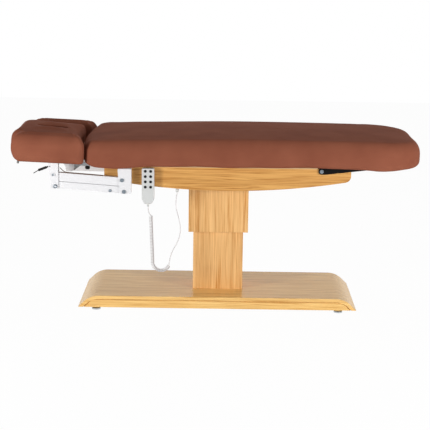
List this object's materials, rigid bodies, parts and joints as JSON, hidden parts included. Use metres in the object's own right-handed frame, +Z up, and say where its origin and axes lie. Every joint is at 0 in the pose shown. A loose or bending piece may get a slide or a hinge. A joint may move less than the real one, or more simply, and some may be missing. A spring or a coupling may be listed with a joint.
{
  "type": "spa bed",
  "caption": "Padded spa bed on a telescoping wooden column and flat base, with a face-hole headrest, drop armrests, a lifting leg section and a corded handset.",
  "frame": {"origin": "on the floor, midway along the overall length and width", "axes": "+X from head to foot, +Y away from the handset side, +Z up"},
  "size_m": [2.124, 0.77, 0.9606],
  "materials": {
    "lacquered_ash": "satin lacquer",
    "plywood": "matt",
    "leatherette": "soft satin",
    "white_steel": "powder coat",
    "zinc_steel": "zinc plate",
    "black_steel": "black paint",
    "lift_aluminium": "anodised",
    "dark_plastic": "moulded",
    "grey_plastic": "moulded",
    "cord_jacket": "soft PVC"
  },
  "bodies": {
    "base": {"base_top_panel": "lacquered_ash", "base_core_board": "lacquered_ash", "lift_outer_tube": "lift_aluminium", "lift_motor": "dark_plastic", "column_lower_cover": "lacquered_ash"},
    "middle_stage": {"lift_middle_tube": "lift_aluminium"},
    "frame": {"lift_inner_tube": "lift_aluminium", "column_upper_cover": "lacquered_ash", "rail_near": "lacquered_ash", "rail_far": "lacquered_ash", "cross_beams": "plywood", "main_board": "plywood", "mattress_main": "leatherette", "mattress_bend": "leatherette", "control_box": "dark_plastic", "mains_inlet": "dark_plastic", "leg_motor": "dark_plastic", "pivot_bolts": "zinc_steel", "headrest_hinge_bars": "zinc_steel", "handset_cradle": "dark_plastic", "handset_front_shell": "grey_plastic", "handset_back_shell": "grey_plastic", "handset_strain_relief": "grey_plastic", "cord_gland": "grey_plastic", "cord_upper": "cord_jacket", "cord_coil": "cord_jacket", "cord_lower": "cord_jacket", "link_brackets": "white_steel"},
    "leg_section": {"leg_board": "plywood", "mattress_leg": "leatherette", "leg_arms": "black_steel", "leg_lever": "black_steel"},
    "leg_rod": {"leg_push_rod": "zinc_steel"},
    "headrest": {"headrest_pad": "leatherette", "headrest_board": "plywood", "headrest_leaves": "zinc_steel", "headrest_grip": "grey_plastic"},
    "knob": {"headrest_knob": "dark_plastic"},
    "near_upper_link": {"near_upper_link": "white_steel"},
    "near_lower_link": {"near_lower_link": "white_steel"},
    "near_armrest": {"near_upright": "white_steel", "near_armrest_pad": "leatherette"},
    "near_lever": {"near_release_lever": "dark_plastic"},
    "far_upper_link": {"far_upper_link": "white_steel"},
    "far_lower_link": {"far_lower_link": "white_steel"},
    "far_armrest": {"far_upright": "white_steel", "far_armrest_pad": "leatherette"},
    "far_lever": {"far_release_lever": "dark_plastic"},
    "foot_head_near": {"foot_head_near": "zinc_steel"},
    "foot_head_far": {"foot_head_far": "zinc_steel"},
    "foot_foot_near": {"foot_foot_near": "zinc_steel"},
    "foot_foot_far": {"foot_foot_far": "zinc_steel"},
    "button_1": {"button_1": "dark_plastic"},
    "button_2": {"button_2": "dark_plastic"},
    "button_3": {"button_3": "dark_plastic"},
    "button_4": {"button_4": "dark_plastic"},
    "button_5": {"button_5": "dark_plastic"},
    "button_6": {"button_6": "dark_plastic"},
    "button_7": {"button_7": "dark_plastic"},
    "button_8": {"button_8": "dark_plastic"}
  },
  "joints": [
    {"name": "height_slide", "type": "slide", "parent": "base", "child": "frame", "axis": [0, 0, 1], "range_m": [-0.2, 0]},
    {"name": "stage_slide", "type": "slide", "parent": "base", "child": "middle_stage", "axis": [0, 0, 1], "range_m": [-0.1, 0]},
    {"name": "leg_hinge", "type": "hinge", "parent": "frame", "child": "leg_section", "pos_m": [0.557, 0, 0.769], "axis": [0, -1, 0], "range_deg": [0, 30], "deforming": ["mattress_bend"]},
    {"name": "leg_rod_slide", "type": "slide", "parent": "frame", "child": "leg_rod", "axis": [1, 0, 0], "range_m": [0, 0.0312]},
    {"name": "headrest_hinge", "type": "hinge", "parent": "frame", "child": "headrest", "pos_m": [-0.748, 0, 0.753], "axis": [0, -1, 0], "range_deg": [0, 35]},
    {"name": "knob_turn", "type": "hinge", "parent": "frame", "child": "knob", "pos_m": [-0.663, -0.17, 0.75], "axis": [0, 0, 1], "continuous": true},
    {"name": "near_arm_swing", "type": "hinge", "parent": "frame", "child": "near_upper_link", "pos_m": [-0.469, -0.311, 0.716], "axis": [0, -1, 0], "range_deg": [0, 16]},
    {"name": "near_lower_swing", "type": "hinge", "parent": "frame", "child": "near_lower_link", "pos_m": [-0.459, -0.311, 0.656], "axis": [0, -1, 0], "range_deg": [0, 16]},
    {"name": "near_arm_level", "type": "hinge", "parent": "near_upper_link", "child": "near_armrest", "pos_m": [-0.82218, -0.311, 0.74008], "axis": [0, -1, 0], "range_deg": [-16, 0]},
    {"name": "near_lever_squeeze", "type": "hinge", "parent": "near_armrest", "child": "near_lever", "pos_m": [-0.83818, -0.311, 0.78308], "axis": [0, 1, 0], "range_deg": [0, 15], "stiffness_Nm_per_rad": 2, "springref_deg": -11.46},
    {"name": "far_arm_swing", "type": "hinge", "parent": "frame", "child": "far_upper_link", "pos_m": [-0.469, 0.311, 0.716], "axis": [0, -1, 0], "range_deg": [-3.2, 12.8]},
    {"name": "far_lower_swing", "type": "hinge", "parent": "frame", "child": "far_lower_link", "pos_m": [-0.459, 0.311, 0.656], "axis": [0, -1, 0], "range_deg": [-3.2, 12.8]},
    {"name": "far_arm_level", "type": "hinge", "parent": "far_upper_link", "child": "far_armrest", "pos_m": [-0.82297, 0.311, 0.72032], "axis": [0, -1, 0], "range_deg": [-12.8, 3.2]},
    {"name": "far_lever_squeeze", "type": "hinge", "parent": "far_armrest", "child": "far_lever", "pos_m": [-0.83897, 0.311, 0.76333], "axis": [0, 1, 0], "range_deg": [0, 15], "stiffness_Nm_per_rad": 2, "springref_deg": -11.46},
    {"name": "foot_head_near_turn", "type": "hinge", "parent": "base", "child": "foot_head_near", "pos_m": [-0.616, -0.23, 0.01], "axis": [0, 0, 1], "continuous": true},
    {"name": "foot_head_far_turn", "type": "hinge", "parent": "base", "child": "foot_head_far", "pos_m": [-0.616, 0.23, 0.01], "axis": [0, 0, 1], "continuous": true},
    {"name": "foot_foot_near_turn", "type": "hinge", "parent": "base", "child": "foot_foot_near", "pos_m": [0.672, -0.23, 0.01], "axis": [0, 0, 1], "continuous": true},
    {"name": "foot_foot_far_turn", "type": "hinge", "parent": "base", "child": "foot_foot_far", "pos_m": [0.672, 0.23, 0.01], "axis": [0, 0, 1], "continuous": true},
    {"name": "button_1_press", "type": "slide", "parent": "frame", "child": "button_1", "axis": [0, 1, 0], "range_m": [0, 0.0012], "stiffness_N_per_m": 1500},
    {"name": "button_2_press", "type": "slide", "parent": "frame", "child": "button_2", "axis": [0, 1, 0], "range_m": [0, 0.0012], "stiffness_N_per_m": 1500},
    {"name": "button_3_press", "type": "slide", "parent": "frame", "child": "button_3", "axis": [0, 1, 0], "range_m": [0, 0.0012], "stiffness_N_per_m": 1500},
    {"name": "button_4_press", "type": "slide", "parent": "frame", "child": "button_4", "axis": [0, 1, 0], "range_m": [0, 0.0012], "stiffness_N_per_m": 1500},
    {"name": "button_5_press", "type": "slide", "parent": "frame", "child": "button_5", "axis": [0, 1, 0], "range_m": [0, 0.0012], "stiffness_N_per_m": 1500},
    {"name": "button_6_press", "type": "slide", "parent": "frame", "child": "button_6", "axis": [0, 1, 0], "range_m": [0, 0.0012], "stiffness_N_per_m": 1500},
    {"name": "button_7_press", "type": "slide", "parent": "frame", "child": "button_7", "axis": [0, 1, 0], "range_m": [0, 0.0012], "stiffness_N_per_m": 1500},
    {"name": "button_8_press", "type": "slide", "parent": "frame", "child": "button_8", "axis": [0, 1, 0], "range_m": [0, 0.0012], "stiffness_N_per_m": 1500}
  ],
  "couplings": [
    {"joint": "stage_slide", "follows": "height_slide", "ratio": 0.5},
    {"joint": "leg_rod_slide", "follows": "leg_hinge", "m_per_rad": 0.059317},
    {"joint": "near_lower_swing", "follows": "near_arm_swing", "ratio": 1},
    {"joint": "near_arm_level", "follows": "near_arm_swing", "ratio": -1},
    {"joint": "far_lower_swing", "follows": "far_arm_swing", "ratio": 1},
    {"joint": "far_arm_level", "follows": "far_arm_swing", "ratio": -1}
  ]
}
